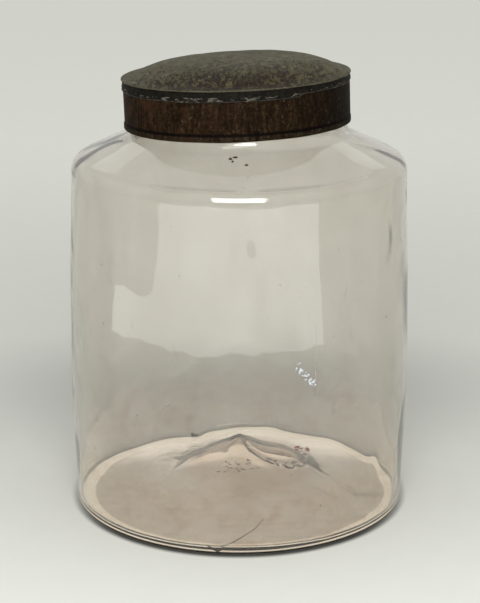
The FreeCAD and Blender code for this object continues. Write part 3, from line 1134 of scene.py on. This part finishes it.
def floor_material():
    """Pale paper, painted with shade: darker from front to back and lighter again far off, the soft
    shade that lies behind the jar and a contact shadow round its foot; and painted with light under
    the jar and where its glass gathers light on the floor, which glows."""
    mat, nodes, links, shader = material("pale_paper")
    where = coordinates(nodes)
    along = parts_of(nodes, links, where)["Y"]
    # painted shade: darker from the front towards the back, and lighter again far off
    near = mapped(nodes, links, along, *NEAR_FLOOR, 0.94, 0.72)
    far = mapped(nodes, links, along, *FAR_FLOOR, 0.0, 0.20)
    tone = maths(nodes, links, "ADD", near, far)
    wide = mapped(nodes, links, distance(nodes, links, where, *WIDE_SHADE), 0.15, 1.05, 0.76, 1.0)
    tone = maths(nodes, links, "MULTIPLY", tone, wide)
    close = mapped(nodes, links, distance(nodes, links, where, *CLOSE_SHADE), 0.2, 1.0, 0.91, 1.0)
    tone = maths(nodes, links, "MULTIPLY", tone, close)
    off = off_axis(nodes, links, where)
    front = mapped(nodes, links, along, -0.075, 0.010, 0.93, 0.25)
    ring = maths(nodes, links, "MULTIPLY", mapped(nodes, links, off, *CONTACT_SHADE, 1.0, 0.0), front)
    tone = mix(nodes, links, ring, tone, (0.03, 0.03, 0.03))
    # painted light: the floor under the jar is painted bright
    under = mapped(nodes, links, off, *LIT_UNDER_JAR, 1.0, 0.0)
    tone = mix(nodes, links, under, tone, (0.97, 0.95, 0.93))
    tint = mix(nodes, links, 1.0, tone, (1.0, 1.008, 0.955), "MULTIPLY")
    # painted light: a glowing crescent on the floor just behind the foot
    back = mapped(nodes, links, along, 0.015, 0.055, 0.0, 0.85)
    behind = maths(nodes, links, "MULTIPLY", mapped(nodes, links, off, *GATHERED_LIGHT, 1.0, 0.0), back)
    # and the painted light under the jar glows a little
    before = maths(nodes, links, "MULTIPLY", under, 0.27)
    # the painted lights under and behind the jar glow for rays from the camera, reflected or through
    # glass
    glow = maths(nodes, links, "MAXIMUM", behind, before)
    glow = maths(nodes, links, "MULTIPLY", glow, seen(nodes, links))
    links.new(glow, shader.inputs["Emission Strength"])
    shader.inputs["Emission Color"].default_value = (1.0, 0.985, 0.95, 1.0)
    grain = noise_node(nodes, links, where, 60.0, 3.0)
    fine = ramp(nodes, links, grain, [(0.3, 0.985), (0.7, 1.0)])
    links.new(mix(nodes, links, 1.0, tint, fine, "MULTIPLY"), shader.inputs["Base Color"])
    shader.inputs["Roughness"].default_value = 0.95
    shader.inputs["Specular IOR Level"].default_value = 0.1
    return mat


def stage():
    side = FLOOR_SIDE
    mesh = bpy.data.meshes.new("floor")
    mesh.from_pydata([(-side, -side, 0), (side, -side, 0), (side, side, 0), (-side, side, 0)],
                     [], [(0, 1, 2, 3)])
    floor = new_object("floor", mesh)
    floor.data.materials.append(floor_material())


def world():
    made = bpy.data.worlds.new("room")
    bpy.context.scene.world = made
    made.use_nodes = True
    background = made.node_tree.nodes["Background"]
    background.inputs["Color"].default_value = (0.68, 0.685, 0.66, 1.0)
    background.inputs["Strength"].default_value = 1.0


def softbox(name, place, target, width, height, watts, reflection_only=False):
    """A rectangular lamp that faces the target."""
    data = bpy.data.lights.new(name, "AREA")
    data.shape = "RECTANGLE"
    data.size = width
    data.size_y = height
    data.energy = watts
    lamp = new_object(name, data)
    lamp.location = place
    lamp.rotation_euler = (Vector(target) - Vector(place)).to_track_quat("-Z", "Y").to_euler()
    if reflection_only:
        lamp.visible_diffuse = False
        lamp.visible_transmission = False


def window_card():
    """A lit card on the floor in front, which only shows as a window's reflection in the wall."""
    mat, nodes, links, shader = material("window_light")
    glow = noise_node(nodes, links, coordinates(nodes), 3.0, 2.0)
    colour = ramp(nodes, links, glow, [(0.3, (0.92, 0.96, 0.93)), (0.7, (1.0, 1.0, 0.98))])
    links.new(colour, shader.inputs["Emission Color"])
    shader.inputs["Emission Strength"].default_value = CARD_LIGHT
    vertices, faces = [], []
    steps, rows = 84, 6
    for i in range(steps + 1):
        turn = CARD_START + (CARD_END - CARD_START) * i / steps
        full = smoothstep(CARD_LOW_END, CARD_LOW_END + 0.10, turn)
        outer = CARD_NARROW + (CARD_FULL - CARD_NARROW) * full
        outer += 0.035 * wave((math.degrees(turn), 0, 0), 9.0, 91)
        inner = CARD_INNER + 0.012 * wave((math.degrees(turn), 5, 0), 7.0, 92)
        for k in range(rows + 1):
            reach = (inner + (outer - inner) * k / rows) / MM
            vertices.append((reach * math.sin(turn), -reach * math.cos(turn), CARD_HEIGHT))
    for i in range(steps):
        for k in range(rows):
            corner = i * (rows + 1) + k
            faces.append((corner, corner + 1, corner + rows + 2, corner + rows + 1))
    card = new_object("window_card", new_mesh("window_card", vertices, faces))
    card.data.materials.append(mat)
    card.visible_camera = False
    card.visible_diffuse = False
    card.visible_transmission = False
    card.visible_shadow = False


def camera():
    data = bpy.data.cameras.new("camera")
    data.sensor_width = 36.0
    data.lens = CAMERA_LENS
    cam = new_object("camera", data)
    cam.location = CAMERA_PLACE
    cam.rotation_euler = (CAMERA_TILT, 0.0, 0.0)
    bpy.context.scene.camera = cam


stage()
world()
softbox("key_softbox", (0.0, -1.15, 0.77), TARGET, 0.76, 0.62, 9.0)
softbox("key_glint", (0.0, -1.14, 0.765), TARGET, 0.74, 0.60, 9.0, reflection_only=True)
softbox("left_glint", (-0.46, 1.19, 0.98), HIGH_TARGET, 0.46, 0.36, 0.27, reflection_only=True)
softbox("right_glint", (0.50, 1.19, 0.98), HIGH_TARGET, 0.30, 0.28, 0.13, reflection_only=True)
window_card()
camera()
bpy.context.scene.view_settings.view_transform = "Standard"
